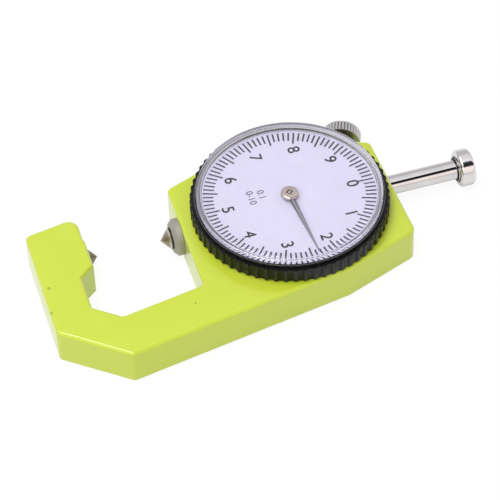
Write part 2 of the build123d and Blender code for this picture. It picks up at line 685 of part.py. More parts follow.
def make_lock_screw():
    """The knurled lock screw on the rear shoulder, its point just short of the spindle."""
    point = lock_point_height()
    head_start = CROWN_RADIUS + LOCK_HEAD_STANDOFF
    head_end = head_start + LOCK_HEAD_WIDTH
    profile = [
        (0, point),
        (LOCK_POINT_RADIUS, point),
        (LOCK_POINT_RADIUS, point + LOCK_POINT_LENGTH),
        (LOCK_SHANK_RADIUS, point + LOCK_POINT_LENGTH),
        (LOCK_SHANK_RADIUS, head_start - LOCK_NECK_LENGTH),
        (LOCK_NECK_RADIUS, head_start - LOCK_NECK_LENGTH),
        (LOCK_NECK_RADIUS, head_start),
        (LOCK_HEAD_RADIUS, head_start),
        (LOCK_HEAD_RADIUS, head_end),
        (0, head_end),
    ]
    screw = turned(profile)
    half_mouth = LOCK_KNURL_DEPTH * tan(radians(LOCK_KNURL_ANGLE / 2))
    notch = Polyline(
        (LOCK_HEAD_RADIUS - LOCK_KNURL_DEPTH, 0),
        (LOCK_HEAD_RADIUS + LOCK_KNURL_DEPTH, 2 * half_mouth),
        (LOCK_HEAD_RADIUS + LOCK_KNURL_DEPTH, -2 * half_mouth),
        close=True,
    )
    groove = Pos(0, 0, head_start) * extrude(make_face(notch), LOCK_HEAD_WIDTH)
    screw -= [Rot(0, 0, 360 * k / LOCK_KNURLS) * groove for k in range(LOCK_KNURLS)]
    return lock_placed(solid_of(screw))


PIECES = {
    "frame": make_frame,
    "back_cover": make_back_cover,
    "movement_plate": make_movement_plate,
    "guide_rail": make_guide_rail,
    "front_bushing": lambda: make_bushing(-BODY_FRONT, -BUSHING_INNER_X),
    "rear_bushing": lambda: make_bushing(BUSHING_INNER_X, BODY_REAR),
    "spindle": make_spindle,
    "guide_pin": lambda: guide_pin_rod(PIN_RADIUS),
    "contact_point": make_contact_point,
    "anvil_point": make_anvil_point,
    "tip_collar": make_tip_collar,
    "lifting_knob": make_lifting_knob,
    "return_spring": make_return_spring,
    "spring_post": make_spring_post,
    "pinion_arbor": make_pinion_arbor,
    "arbor_bushing": make_arbor_bushing,
    "hairspring_collet": make_hairspring_collet,
    "hairspring": make_hairspring,
    "hairspring_stud": make_hairspring_stud,
    "pointer_needle": make_pointer_needle,
    "pointer_hub": make_pointer_hub,
    "bezel": make_bezel,
    "bezel_snap_ring": make_bezel_snap_ring,
    "dial_plate": make_dial_plate,
    "crystal": make_crystal,
    "lock_screw": make_lock_screw,
}

os.makedirs("parts", exist_ok=True)
for name, make in PIECES.items():
    export_step(make(), os.path.join("parts", name + ".step"))
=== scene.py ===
import json
from math import cos, hypot, pi, radians, sin

import bpy
from mathutils import Matrix, Vector

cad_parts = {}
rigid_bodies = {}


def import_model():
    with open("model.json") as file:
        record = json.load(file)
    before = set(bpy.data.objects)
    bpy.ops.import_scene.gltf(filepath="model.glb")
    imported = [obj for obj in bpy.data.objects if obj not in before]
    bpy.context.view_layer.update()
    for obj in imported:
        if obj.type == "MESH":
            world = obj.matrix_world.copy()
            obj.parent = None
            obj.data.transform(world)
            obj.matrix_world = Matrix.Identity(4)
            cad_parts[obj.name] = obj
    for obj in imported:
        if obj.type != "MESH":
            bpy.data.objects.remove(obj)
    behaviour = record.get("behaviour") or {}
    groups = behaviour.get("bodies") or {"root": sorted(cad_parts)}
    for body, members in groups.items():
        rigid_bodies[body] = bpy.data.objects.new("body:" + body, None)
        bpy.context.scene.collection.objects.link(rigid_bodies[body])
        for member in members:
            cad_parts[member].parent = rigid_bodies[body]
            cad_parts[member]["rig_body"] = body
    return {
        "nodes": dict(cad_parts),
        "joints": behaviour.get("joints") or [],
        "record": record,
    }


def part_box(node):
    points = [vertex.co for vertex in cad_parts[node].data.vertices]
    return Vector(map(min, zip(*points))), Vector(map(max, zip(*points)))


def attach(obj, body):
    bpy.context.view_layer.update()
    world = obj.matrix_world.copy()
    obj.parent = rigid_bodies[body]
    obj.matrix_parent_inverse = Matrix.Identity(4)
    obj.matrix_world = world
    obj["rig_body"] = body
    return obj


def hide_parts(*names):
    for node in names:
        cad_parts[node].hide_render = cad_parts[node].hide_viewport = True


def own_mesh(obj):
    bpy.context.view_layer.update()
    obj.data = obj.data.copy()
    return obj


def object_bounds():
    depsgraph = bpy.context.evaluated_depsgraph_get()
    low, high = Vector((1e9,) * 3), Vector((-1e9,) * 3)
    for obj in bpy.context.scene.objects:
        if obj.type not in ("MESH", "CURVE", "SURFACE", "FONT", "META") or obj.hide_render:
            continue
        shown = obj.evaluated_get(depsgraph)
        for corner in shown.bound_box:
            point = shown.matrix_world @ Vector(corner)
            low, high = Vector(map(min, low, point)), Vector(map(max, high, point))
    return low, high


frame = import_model()
cad_low, cad_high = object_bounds()

# Dial thickness gauge: the finish of its painted frame, chrome, black bezel and printed dial,
# and the small pieces that go with them. Sizes are in metres.
MM = 0.001

# The picture: where the pointer's axis stands in it, and how the camera looks at the gauge
PICTURE_SIZE = 500
AXIS_IN_PICTURE = (289.6, 196.6)
FOCAL_PIXELS = 2554.6
SENSOR_WIDTH = 36.0
CAMERA_DISTANCE = 482.6 * MM
CAMERA_ELEVATION = radians(48.54)
CAMERA_TURN = radians(15.25)
CAMERA_ROLL = radians(2.21)
AIM_OVER_DIAL = 0.15 * MM
CLIP_START = 10 * MM

# The studio: the glowing floor, and the lamps by name, place, width, depth and power
FLOOR_SIZE = 6.0
FLOOR_DROP = 0.03 * MM
FLOOR_GLOW = 1.06
GLOW_FOR_CAMERA = 0.86
GLOW_IN_MIRRORS = 0.64
LIGHT_ON_MATT_FACES = 0.5
LAMPS = (
    ("key_lamp", (-0.25, -0.03, 0.9), 0.85, 0.34, 4.4),
    ("fill_lamp", (-0.5, -0.5, 0.6), 0.6, 0.6, 1.0),
)

# What mirrors and the crystal see at each angle round the spindle's axis: in half turns, from
# level on the beam's side through straight up (0.5) to level on the lock screw's side
SKY_STEPS = (
    (0.0, (0.74, 0.66, 0.62)),
    (0.02, (0.74, 0.66, 0.62)),
    (0.06, (1.0, 0.91, 0.86)),
    (0.12, (1.15, 1.06, 1.0)),
    (0.25, (1.3, 1.22, 1.18)),
    (0.262, (0.02, 0.02, 0.02)),
    (0.43, (0.02, 0.02, 0.025)),
    (0.445, (1.07, 1.07, 1.12)),
    (0.52, (1.07, 1.07, 1.12)),
    (0.56, (0.86, 0.86, 0.9)),
    (0.59, (0.86, 0.86, 0.9)),
    (0.635, (0.97, 0.95, 0.98)),
    (0.7, (0.8, 0.79, 0.81)),
    (0.77, (0.64, 0.62, 0.64)),
    (0.86, (0.63, 0.61, 0.63)),
    (1.0, (0.8, 0.78, 0.78)),
)

# The dial's print, and the pointer that stands at 2.34 on it
FIGURES = 10
DIVISIONS = 100
ZERO_ANGLE = radians(-2.1)
MARK_OUTER_RADIUS = 16.5 * MM
LONG_MARK = 2.9 * MM
SHORT_MARK = 2.1 * MM
MARK_WIDTH = 0.34 * MM
INK_HEIGHT = 0.02 * MM
FIGURE_RADIUS = 12.2 * MM
FIGURE_SHIFT = -0.25 * MM
FIGURE_SIZE = 3.35 * MM
BOLD_SPREAD = 0.06 * MM
NOTE_SIZE = 1.95 * MM
NOTES = (("0.1", -5.05 * MM, 1.95 * MM), ("0-10", -7.1 * MM, 1.75 * MM))
POINTER_READING = 2.34
POINTER_ANGLE = ZERO_ANGLE - 2 * pi * POINTER_READING / FIGURES
POINTER_HALF_WIDTH = 0.45 * MM
DIAL_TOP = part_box("dial_plate")[1].z

# The crystal, and the tones of the dial's rim from its edge to the inside of the crystal's wall:
# painted light and shade for what is seen through that wall
CRYSTAL_SIDES = 360
CRYSTAL_WALL = 0.65 * MM
CRYSTAL_TOP_THICKNESS = 0.8 * MM
CRYSTAL_SHOULDER = 0.15 * MM
CRYSTAL_INNER_ROUND = 0.6 * MM
RIM_PAINTED_LIGHT_STEPS = (
    (0.0, (252, 250, 255)),
    (0.12, (252, 250, 255)),
    (0.18, (216, 213, 224)),
    (0.26, (252, 250, 255)),
    (0.45, (250, 248, 255)),
    (0.52, (222, 218, 230)),
    (0.6, (208, 204, 216)),
    (0.85, (202, 198, 210)),
    (1.0, (172, 168, 180)),
)

# The bezel: hollow flutes up to its flat shoulder, the raised lip round the crystal, and a bore
# that widens over the step that the snap ring holds. Cutters reach past what they cut.
FLUTES = 64
FLUTE_RADIUS = 0.97 * MM
FLUTE_DEPTH = 0.32 * MM
SHOULDER_DROP = 0.15 * MM
SHOULDER_ROUND = 0.06 * MM
LIP_HEIGHT = 0.7 * MM
LIP_WALL = 0.42 * MM
LIP_ROUND = 0.12 * MM
SEAT_CLEARANCE = 0.01 * MM
BEZEL_BORE = 16.24 * MM
BEZEL_STEP = 0.8 * MM
SNAP_RING_BORE = 16.8 * MM
CUTTER_REACH = 4 * MM
SEAT_CUTTER_OVER = 1 * MM
STEP_CUTTER_OVER = 0.1 * MM

# The pointer's hub, with the arbor's end in its square socket
HUB_ROUND = 0.36 * MM
HUB_SOCKET_RADIUS = 0.72 * MM
HUB_SOCKET_DEPTH = 0.3 * MM
HUB_NUB_RADIUS = 0.34 * MM
HUB_NUB_HEIGHT = 0.1 * MM
HUB_NUB_ROUND = 0.12 * MM
HUB_NUB_ROOT = 0.05 * MM

# The lifting knob on the spindle's axis, and the rings of painted shade round its neck
SPINDLE_AXIS = (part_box("lifting_knob")[0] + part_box("lifting_knob")[1]) / 2
SPINDLE_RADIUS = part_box("spindle")[1].z - SPINDLE_AXIS.z
KNOB_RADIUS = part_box("lifting_knob")[1].z - SPINDLE_AXIS.z
KNOB_END_ROUND = 0.75 * MM
KNOB_FRONT_ROUND = 0.6 * MM
KNOB_NECK = 0.35 * MM
KNOB_NECK_RADIUS = 2.35 * MM
KNOB_NECK_ROUND = 0.12 * MM
KNOB_NECK_OVERLAP = 0.05 * MM
NECK_SHADE_RINGS = (34.42 * MM, 34.8 * MM)
NECK_RING_WIDTH = 0.11 * MM
NECK_RING_REACH = 2.6 * MM

# The lock screw: its axis, how far that passes from the dial's centre, and its knurled head
LOCK_AXIS = Vector((0.381822, 0.924236, 0.0))
LOCK_SIDE = 8.15 * MM
LOCK_HEAD_START = 21.45 * MM
LOCK_HEAD_END = 23.75 * MM
LOCK_HEAD_RADIUS = 3.8 * MM
LOCK_GROOVE_DEPTH = 0.22 * MM
LOCK_HEAD_MARGIN = 0.03 * MM

# The moving tip's tones from the cone's point to the rim behind its foot, with a painted highlight
# ring and painted shade at the foot, and how far beyond the point the anvil's steel begins
TIP_START = -24.95 * MM
TIP_LENGTH = 2.2 * MM
ANVIL_AWAY = 6 * MM
TIP_TONE_AND_LIGHT_STEPS = (
    (0.0, (205, 190, 176)),
    (0.4, (176, 160, 146)),
    (0.68, (190, 176, 162)),
    (0.71, (242, 240, 234)),
    (0.8, (236, 233, 226)),
    (0.83, (30, 28, 24)),
    (1.0, (46, 42, 36)),
)

# The back cover's countersunk screws
COVER_ROUND = 0.12 * MM
COVER_SCREWS = 4
SCREW_CIRCLE = 12.9 * MM
SCREW_HEAD = 1.05 * MM
SCREW_FOOT = 0.5 * MM
SCREW_LENGTH = 0.55 * MM
SCREW_SUNK = 0.03 * MM
SCREW_SLOT = (1.3 * MM, 0.26 * MM, 0.4 * MM)
SCREW_GAP = 0.1 * MM
SCREW_HOLE_FOOT = 0.4 * MM
SCREW_HOLE_LENGTH = 0.8 * MM
SCREW_HOLE_OVER = 0.02 * MM

# Chips in the casting's enamel: place, radius and how dark, and their ragged edge
CHIPS = (
    ((-23.6 * MM, -17.3 * MM, 7.8 * MM), 0.2 * MM, 0.55),
    ((-48.5 * MM, -5.4 * MM, 7.8 * MM), 0.34 * MM, 0.4),
    ((-49.5 * MM, -11.3 * MM, 7.7 * MM), 0.3 * MM, 0.5),
    ((-36.1 * MM, -24.5 * MM, 0.2 * MM), 0.6 * MM, 0.9),
)
CHIP_EDGE_GRAIN = 0.4 * MM
CHIP_EDGE_REACH = 0.25 * MM
CHIP_EDGE_SHIFT = 0.12 * MM

# Grain stretched round the axis that each kind of piece is turned on, its fine turning lines,
# and the shade painted on chrome below the spindle's axis, with the drop as a share of the radius
ROUND_SPINDLE = (1.0, 0.04, 0.04)
ROUND_TIP = (2.5, 0.04, 0.04)
ROUND_POINTER = (0.04, 0.04, 1.0)
TURNING_LINES = 0.25 * MM
LINES_DETAIL = 2.0
LINES_ROUGHNESS = 0.6
UNDERSIDE_START = 0.1
UNDERSIDE_RISE = 2.0
UNDERSIDE_SHARE = 0.55

# Meshes: the corner at which smooth shading breaks, what counts as the same place, the thin ring
# that keeps a flat face's shading flat beside a rounding, the solids that only need smooth
# shading, and the number of each axis
SMOOTH_ANGLE = radians(32)
NEAR = 0.004 * MM
MERGE_DISTANCE = 0.001 * MM
FLAT_MARGIN = 0.05 * MM
SMOOTHED_SOLIDS = (
    "frame", "spindle", "lock_screw", "tip_collar", "contact_point", "anvil_point",
    "front_bushing", "rear_bushing", "pointer_needle",
)
X, Z = 0, 2

WHITE = (1.0, 1.0, 1.0, 1.0)


class Value:
    """A number or colour that runs through a node tree and takes part in sums."""

    def __init__(self, nodes, socket):
        self.nodes = nodes
        self.socket = socket

    def maths(self, operation, first, second=0.0):
        return self.nodes.node("ShaderNodeMath", {"operation": operation}, {0: first, 1: second})

    def __add__(self, other):
        return self.maths("ADD", self, other)

    def __sub__(self, other):
        return self.maths("SUBTRACT", self, other)

    def __rsub__(self, other):
        return self.maths("SUBTRACT", other, self)

    def __mul__(self, other):
        return self.maths("MULTIPLY", self, other)

    def __truediv__(self, other):
        return self.maths("DIVIDE", self, other)

    def __pow__(self, other):
        return self.maths("POWER", self, other)

    __radd__ = __add__
    __rmul__ = __mul__

    def unsigned(self):
        return self.maths("ABSOLUTE", self)

    def above(self, limit):
        return self.maths("GREATER_THAN", self, limit)

    def clamped(self):
        return self.nodes.node("ShaderNodeClamp", {}, {"Value": self})


class Nodes:
    """A node tree, with short ways to add its nodes."""

    def __init__(self, tree):
        self.tree = tree

    def plug(self, socket, value):
        """Sets a socket to a number or colour, or links it to a value."""
        if isinstance(value, Value):
            self.tree.links.new(value.socket, socket)
        else:
            socket.default_value = value

    def node(self, kind, settings, inputs, output=0):
        """Any node: its settings go in first, then its sockets' values or links."""
        made = self.tree.nodes.new(kind)
        for name, value in settings.items():
            setattr(made, name, value)
        for name, value in inputs.items():
            self.plug(made.inputs[name], value)
        return Value(self, made.outputs[output])

    def mix(self, share, first, second):
        """A blend of two colours. The node's colour sockets are known by number alone."""
        made = self.tree.nodes.new("ShaderNodeMix")
        made.data_type = "RGBA"
        for index, value in ((0, share), (6, first), (7, second)):
            self.plug(made.inputs[index], value)
        return Value(self, made.outputs[2])

    def steps(self, position, stops):
        """A colour that runs through several stops, each (place, colour)."""
        made = self.tree.nodes.new("ShaderNodeValToRGB")
        ends = made.color_ramp.elements
        ends[0].position, ends[0].color = stops[0]
        ends[-1].position, ends[-1].color = stops[-1]
        for place, colour in stops[1:-1]:
            ends.new(place).color = colour
        self.plug(made.inputs["Fac"], position)
        return Value(self, made.outputs["Color"])

    def ray(self, kind):
        """1 for rays of one kind, such as Is Camera Ray, and 0 for the others."""
        return self.node("ShaderNodeLightPath", {}, {}, kind)


class Finish(Nodes):
    """One material, whose shader's sockets are fed by name."""

    def __init__(self, name, colour, roughness, metallic=0.0):
        self.material = bpy.data.materials.new(name)
        self.material.use_nodes = True
        super().__init__(self.material.node_tree)
        self.shader = self.tree.nodes["Principled BSDF"]
        self.feed("Base Color", colour)
        self.feed("Roughness", roughness)
        self.feed("Metallic", metallic)

    def feed(self, name, value):
        self.plug(self.shader.inputs[name], value)

    def blend_in(self, share, other):
        """Mixes another shader into this material's own."""
        own = Value(self, self.shader.outputs["BSDF"])
        return self.node("ShaderNodeMixShader", {}, {0: share, 1: own, 2: other})

    def show(self, shader):
        self.plug(self.tree.nodes["Material Output"].inputs["Surface"], shader)

    def place(self):
        """The point on the object, in the part's own frame."""
        return self.node("ShaderNodeTexCoord", {}, {}, "Object")

    def coordinate(self, letter):
        return self.node("ShaderNodeSeparateXYZ", {}, {0: self.place()}, letter)

    def noise(self, size, detail=2.0, roughness=0.5, stretch=(1.0, 1.0, 1.0)):
        """Soft cloudy variation between 0 and 1, with patches of about this size."""
        scaled = self.node("ShaderNodeMapping", {}, {"Vector": self.place(), "Scale": stretch})
        inputs = {"Vector": scaled, "Scale": 1 / size, "Detail": detail, "Roughness": roughness}
        return self.node("ShaderNodeTexNoise", {}, inputs)

    def specks(self, size, above):
        """1 in the few small patches where a fine noise rises above this, and 0 elsewhere."""
        return self.noise(size, detail=1.0).above(above)

    def turning_lines(self, stretch, size=TURNING_LINES):
        return self.noise(size, LINES_DETAIL, LINES_ROUGHNESS, stretch)

    def roughen(self, smoothest, spread, grain):
        """Roughness that rises by this spread from its smoothest where the grain is strong."""
        self.feed("Roughness", smoothest + grain * spread)

    def bump(self, height, strength, distance):
        inputs = {"Height": height, "Strength": strength, "Distance": distance}
        self.feed("Normal", self.node("ShaderNodeBump", {}, inputs))


def length(first, second):
    """How long a line is that runs this far along two square axes."""
    return (first * first + second * second) ** 0.5


def rgb(red, green, blue):
    """A colour from its picture values of 0 to 255, as the light it reflects."""

    def light(level):
        share = level / 255
        return share / 12.92 if share <= 0.04045 else ((share + 0.055) / 1.055) ** 2.4

    return light(red), light(green), light(blue), 1.0


def tones(steps):
    """Steps of picture values, as steps of reflected light."""
    return [(place, rgb(*colour)) for place, colour in steps]


def darkened(colour, share):
    """A colour that reflects this share of its light."""
    return (*(level * share for level in colour[:3]), 1.0)


def lime_enamel():
    """Thick glossy enamel, a little uneven, with a few dark chips and specks of dust."""
    lime, pale_lime = rgb(208, 227, 42), rgb(217, 231, 72)
    chipped, dusty = rgb(64, 62, 24), rgb(140, 146, 40)
    paint = Finish("lime_enamel", rgb(211, 228, 44), roughness=0.3)
    paint.feed("Coat Weight", 0.8)
    paint.feed("Coat Roughness", 0.08)
    colour = paint.mix(paint.noise(9 * MM, detail=3.0), lime, pale_lime)
    ragged = paint.noise(CHIP_EDGE_GRAIN) * CHIP_EDGE_REACH - CHIP_EDGE_SHIFT
    for place, radius, depth in CHIPS:
        inputs = {0: paint.place(), 1: place}
        away = paint.node("ShaderNodeVectorMath", {"operation": "DISTANCE"}, inputs, "Value")
        chip = (radius - (away + ragged)).above(0.0)
        colour = paint.mix(chip * depth, colour, chipped)
    dust = paint.specks(0.5 * MM, above=0.79)
    paint.feed("Base Color", paint.mix(dust * 0.25, colour, dusty))
    paint.roughen(0.26, 0.1, paint.noise(3 * MM))
    paint.bump(paint.noise(3.5 * MM), strength=0.12, distance=0.05 * MM)
    return paint.material


def darker_below(metal, radius, colour):
    """Painted shade on chrome on the spindle's axis, darker towards its underside."""
    drop = (SPINDLE_AXIS.z - metal.coordinate("Z")) / radius
    share = ((drop - UNDERSIDE_START) * UNDERSIDE_RISE).clamped() * UNDERSIDE_SHARE
    return metal.mix(share, colour, rgb(140, 134, 130))


def turned_metal(name, colour, roughness, stretch, underside_shade_radius=None):
    """Metal with fine turning lines, stretched round the turned axis."""
    metal = Finish(name, colour, roughness, metallic=1.0)
    lines = metal.turning_lines(stretch)
    surface = metal.mix(metal.noise(2.5 * MM), darkened(colour, share=0.82), colour)
    # With a radius, the chrome gets painted shade towards its underside
    if underside_shade_radius:
        surface = darker_below(metal, underside_shade_radius, surface)
    metal.feed("Base Color", surface)
    metal.roughen(roughness * 0.75, roughness * 0.5, lines)
    metal.bump(lines, strength=0.12, distance=0.02 * MM)
    return metal.material


def ringed_knob():
    """Bright chrome, with painted shade in the neck's corners and towards its underside."""
    bright, shadow = rgb(226, 222, 222), rgb(34, 32, 32)
    metal = Finish("knob_chrome", bright, roughness=0.12, metallic=1.0)
    across = metal.coordinate("Y") - SPINDLE_AXIS.y
    rise = metal.coordinate("Z") - SPINDLE_AXIS.z
    near_axis = (NECK_RING_REACH - length(across, rise)).above(0.0)
    lines = metal.turning_lines(ROUND_SPINDLE)
    # Painted shade: dark rings in the corners in front of and behind the neck
    dark = 0.0
    for ring in NECK_SHADE_RINGS:
        off_ring = (metal.coordinate("X") - ring).unsigned()
        dark = (NECK_RING_WIDTH - off_ring).above(0.0) * near_axis + dark
    metal.feed("Base Color", metal.mix(dark, darker_below(metal, KNOB_RADIUS, bright), shadow))
    metal.feed("Roughness", 0.11 + lines * 0.06 + dark * 0.3)
    metal.bump(lines, strength=0.1, distance=0.02 * MM)
    return metal.material


def ringed_tip():
    """Hardened steel with fine turned rings; painted highlight and shade at the cone's foot."""
    anvil, groove = rgb(146, 136, 116), rgb(120, 106, 94)
    metal = Finish("hardened_tip", rgb(190, 176, 162), roughness=0.3, metallic=1.0)
    rings = metal.turning_lines(ROUND_TIP, size=0.2 * MM)
    along = metal.coordinate("X")
    # A painted highlight ring near the cone's foot, then painted shade on the rim behind it
    colour = metal.steps((along - TIP_START) / TIP_LENGTH, tones(TIP_TONE_AND_LIGHT_STEPS))
    colour = metal.mix((TIP_START - ANVIL_AWAY - along).above(0.0), colour, anvil)
    metal.feed("Base Color", metal.mix(rings * 0.7, colour, groove))
    metal.roughen(0.26, 0.2, rings)
    metal.bump(rings, strength=0.3, distance=0.03 * MM)
    return metal.material


def knurled_nickel():
    """Nickel, with painted shade in the grooves between the ribs of the head and on the neck."""
    pale, dull = rgb(232, 231, 229), rgb(206, 205, 204)
    groove_shade, painted_neck_shade = rgb(110, 108, 110), rgb(30, 30, 18)
    metal = Finish("lock_nickel", rgb(226, 225, 223), roughness=0.28, metallic=1.0)
    x, y = metal.coordinate("X"), metal.coordinate("Y")
    along = x * LOCK_AXIS.x + y * LOCK_AXIS.y
    across = x * LOCK_AXIS.y - y * LOCK_AXIS.x - LOCK_SIDE
    rise = metal.coordinate("Z") - SPINDLE_AXIS.z
    depth = ((LOCK_HEAD_RADIUS - length(across, rise)) / LOCK_GROOVE_DEPTH).clamped()
    behind_start = (along - LOCK_HEAD_START).above(LOCK_HEAD_MARGIN)
    before_end = (LOCK_HEAD_END - along).above(LOCK_HEAD_MARGIN)
    neck = (LOCK_HEAD_START - along).above(LOCK_HEAD_MARGIN)
    grain = metal.noise(0.5 * MM, detail=3.0)
    colour = metal.mix(grain, pale, dull)
    # Painted shade deep in the grooves between the head's ribs
    colour = metal.mix(depth * behind_start * before_end * 0.7, colour, groove_shade)
    # Painted shade, dark olive, on the neck behind the head
    metal.feed("Base Color", metal.mix(neck * 0.95, colour, painted_neck_shade))
    metal.roughen(0.24, 0.12, grain)
    return metal.material


def hub_metal():
    """Brownish polished nickel, with painted shade in the socket round the arbor's bright end."""
    pale, brown, shadow = rgb(222, 210, 200), rgb(196, 182, 172), rgb(34, 28, 24)
    margin, sunk = 1.02, 0.02 * MM
    metal = Finish("hub_nickel", rgb(212, 200, 190), roughness=0.2, metallic=1.0)
    reach = length(metal.coordinate("X"), metal.coordinate("Y"))
    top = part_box("pointer_hub")[1].z - HUB_NUB_HEIGHT
    below_top = (top - metal.coordinate("Z")).above(sunk)
    socket_shade = (HUB_SOCKET_RADIUS * margin - reach).above(0.0) * below_top
    on_nub = (HUB_NUB_RADIUS * margin - reach).above(0.0)
    lines = metal.turning_lines(ROUND_POINTER, size=0.2 * MM)
    colour = metal.mix(lines, pale, brown)
    # Painted shade in the socket, with the nub left bright
    metal.feed("Base Color", metal.mix(socket_shade * (1.0 - on_nub), colour, shadow))
    metal.roughen(0.06, 0.06, lines)
    metal.bump(lines, strength=0.05, distance=0.01 * MM)
    return metal.material


def dull_metal(name, colour, roughness, metallic=0.9):
    """Cast, sintered or drawn metal with a faint mottled grain."""
    metal = Finish(name, colour, roughness, metallic)
    grain = metal.noise(0.35 * MM, detail=4.0, roughness=0.6)
    mottled = grain * 0.5 + metal.noise(2.2 * MM) * 0.5
    metal.feed("Base Color", metal.mix(mottled, darkened(colour, share=0.78), colour))
    metal.roughen(roughness * 0.8, roughness * 0.4, grain)
    metal.bump(grain, strength=0.2, distance=0.02 * MM)
    return metal.material


def black_moulding():
    """Glossy black with a faint haze and specks of dust; painted shade deep in the flutes,
    and painted highlights on the ridges and along the lip.
    """
    deep, hazy, flute_shade = rgb(8, 8, 9), rgb(28, 28, 29), rgb(2, 2, 2)
    ridge_highlight_colour, lip_highlight, dusty = rgb(70, 70, 68), rgb(120, 120, 122), rgb(150, 150, 140)
    black = Finish("black_moulding", rgb(16, 16, 17), roughness=0.3)
    black.feed("Specular IOR Level", 0.25)
    haze = black.noise(1.2 * MM, detail=3.0)
    dust = black.specks(0.22 * MM, above=0.76)
    reach = length(black.coordinate("X"), black.coordinate("Y"))
    depth = ((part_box("bezel")[1].x - reach) / FLUTE_DEPTH).clamped()
    flute_wall_shade = 1.0 - (depth * 2.0 - 1.0).unsigned()
    ridge_highlight = (1.0 - depth * 8.0).clamped()
    lip_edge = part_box("crystal")[1].x + SEAT_CLEARANCE + LIP_WALL - LIP_ROUND
    lip_highlight_share = (1.0 - (reach - lip_edge).unsigned() / LIP_ROUND).clamped()
    colour = black.mix(haze, deep, hazy)
    # Painted shade deep in the flutes
    colour = black.mix(flute_wall_shade * 0.9, colour, flute_shade)
    # Painted highlight on the ridge tops
    colour = black.mix(ridge_highlight * 0.4, colour, ridge_highlight_colour)
    # Painted highlight along the lip's rounded edge
    colour = black.mix(lip_highlight_share * 0.6, colour, lip_highlight)
    black.feed("Base Color", black.mix(dust * 0.5, colour, dusty))
    black.roughen(0.2, 0.15, haze)
    black.bump(haze, strength=0.1, distance=0.03 * MM)
    return black.material


def dial_enamel():
    """The dial's cool white satin face, with bands of painted light and shade on the rim
    under the crystal's wall.
    """
    white = Finish("dial_enamel", rgb(197, 193, 216), roughness=0.55)
    grain = white.noise(0.15 * MM)
    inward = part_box("crystal")[1].x - length(white.coordinate("X"), white.coordinate("Y"))
    face = white.mix(white.noise(7 * MM), rgb(194, 190, 214), rgb(199, 195, 218))
    # Painted light and shade: the rim's bands stand in for what the crystal's wall shows
    rim = white.steps(inward / CRYSTAL_WALL, tones(RIM_PAINTED_LIGHT_STEPS))
    white.feed("Base Color", white.mix((CRYSTAL_WALL - inward).above(0.0), face, rim))
    white.roughen(0.5, 0.15, grain)
    white.bump(grain, strength=0.05, distance=0.01 * MM)
    return white.material


def printed_ink():
    """Dark print, slightly uneven in its cover."""
    ink = Finish("printed_ink", rgb(8, 8, 12), roughness=0.7)
    cover = ink.noise(0.3 * MM, detail=3.0)
    ink.feed("Base Color", ink.mix(cover, rgb(3, 3, 5), rgb(16, 15, 22)))
    ink.roughen(0.5, 0.2, cover)
    return ink.material


def needle_enamel():
    """Dark grey lacquer on the pointer's blade, with a painted highlight down its middle."""
    thick, thin, ridge_highlight = rgb(34, 32, 38), rgb(56, 54, 62), rgb(132, 128, 142)
    grey = Finish("needle_enamel", rgb(70, 68, 76), roughness=0.4)
    cover = grey.noise(0.8 * MM, detail=3.0)
    x, y = grey.coordinate("X"), grey.coordinate("Y")
    off_middle = (x * sin(POINTER_ANGLE) - y * cos(POINTER_ANGLE)).unsigned()
    middle = (1.0 - off_middle / POINTER_HALF_WIDTH).clamped()
    # Painted highlight along the blade's middle, darker towards its edges
    grey.feed("Base Color", grey.mix(middle, grey.mix(cover, thick, thin), ridge_highlight))
    grey.roughen(0.32, 0.16, cover)
    return grey.material


def clear_acrylic():
    """The clear cover: it bends what is seen through it, and lets the lamps through."""
    clear = Finish("clear_acrylic", WHITE, roughness=0.02)
    clear.feed("Transmission Weight", 1.0)
    clear.feed("IOR", 1.49)
    clear.roughen(0.01, 0.02, clear.noise(5 * MM, detail=4.0, roughness=0.7))
    tinted = {"Color": (0.97, 0.97, 0.98, 1.0)}
    through = clear.node("ShaderNodeBsdfTransparent", {}, tinted)
    clear.show(clear.blend_in(clear.ray("Is Shadow Ray"), through))
    return clear.material


# The finish of each of the record's material slots, the slot of each solid, and the print's ink
FINISHES = {
    "green_paint": lime_enamel(),
    "cover_steel": turned_metal("cover_sheet", rgb(188, 188, 190), 0.34, ROUND_POINTER),
    "plate_brass": turned_metal("stamped_brass", rgb(214, 186, 120), 0.32, ROUND_POINTER),
    "bushing_bronze": turned_metal("bearing_bronze", rgb(206, 160, 104), 0.3, ROUND_SPINDLE),
    "spindle_chrome": turned_metal(
        "spindle_chrome", rgb(228, 225, 225), 0.05, ROUND_SPINDLE, SPINDLE_RADIUS
    ),
    "pin_steel": dull_metal("pin_steel", rgb(178, 178, 182), 0.35),
    "tip_steel": ringed_tip(),
    "collar_grey": dull_metal("collar_zinc", rgb(184, 182, 174), 0.62, 0.6),
    "knob_chrome": ringed_knob(),
    "spring_steel": dull_metal("spring_steel", rgb(150, 152, 158), 0.3),
    "arbor_steel": turned_metal("arbor_steel", rgb(196, 196, 198), 0.22, ROUND_POINTER),
    "needle_paint": needle_enamel(),
    "hub_nickel": hub_metal(),
    "bezel_black": black_moulding(),
    "dial_white": dial_enamel(),
    "crystal_clear": clear_acrylic(),
    "lock_nickel": knurled_nickel(),
}
SLOTS = {entry["node"]: entry["material_slot"] for entry in frame["record"]["subparts"]}
INK = printed_ink()


def dress_nodes():
    """Each solid of the frame takes the finish of its material slot."""
    for node_name, slot_name in SLOTS.items():
        for place in frame["nodes"][node_name].material_slots:
            place.material = FINISHES[slot_name]


def only(piece):
    """Deselects everything, then selects and activates one piece."""
    bpy.ops.object.select_all(action="DESELECT")
    piece.select_set(True)
    bpy.context.view_layer.objects.active = piece


def applied(piece):
    """Puts a piece's place, turn and scale into its mesh."""
    only(piece)
    bpy.ops.object.transform_apply(location=True, rotation=True, scale=True)
    return piece


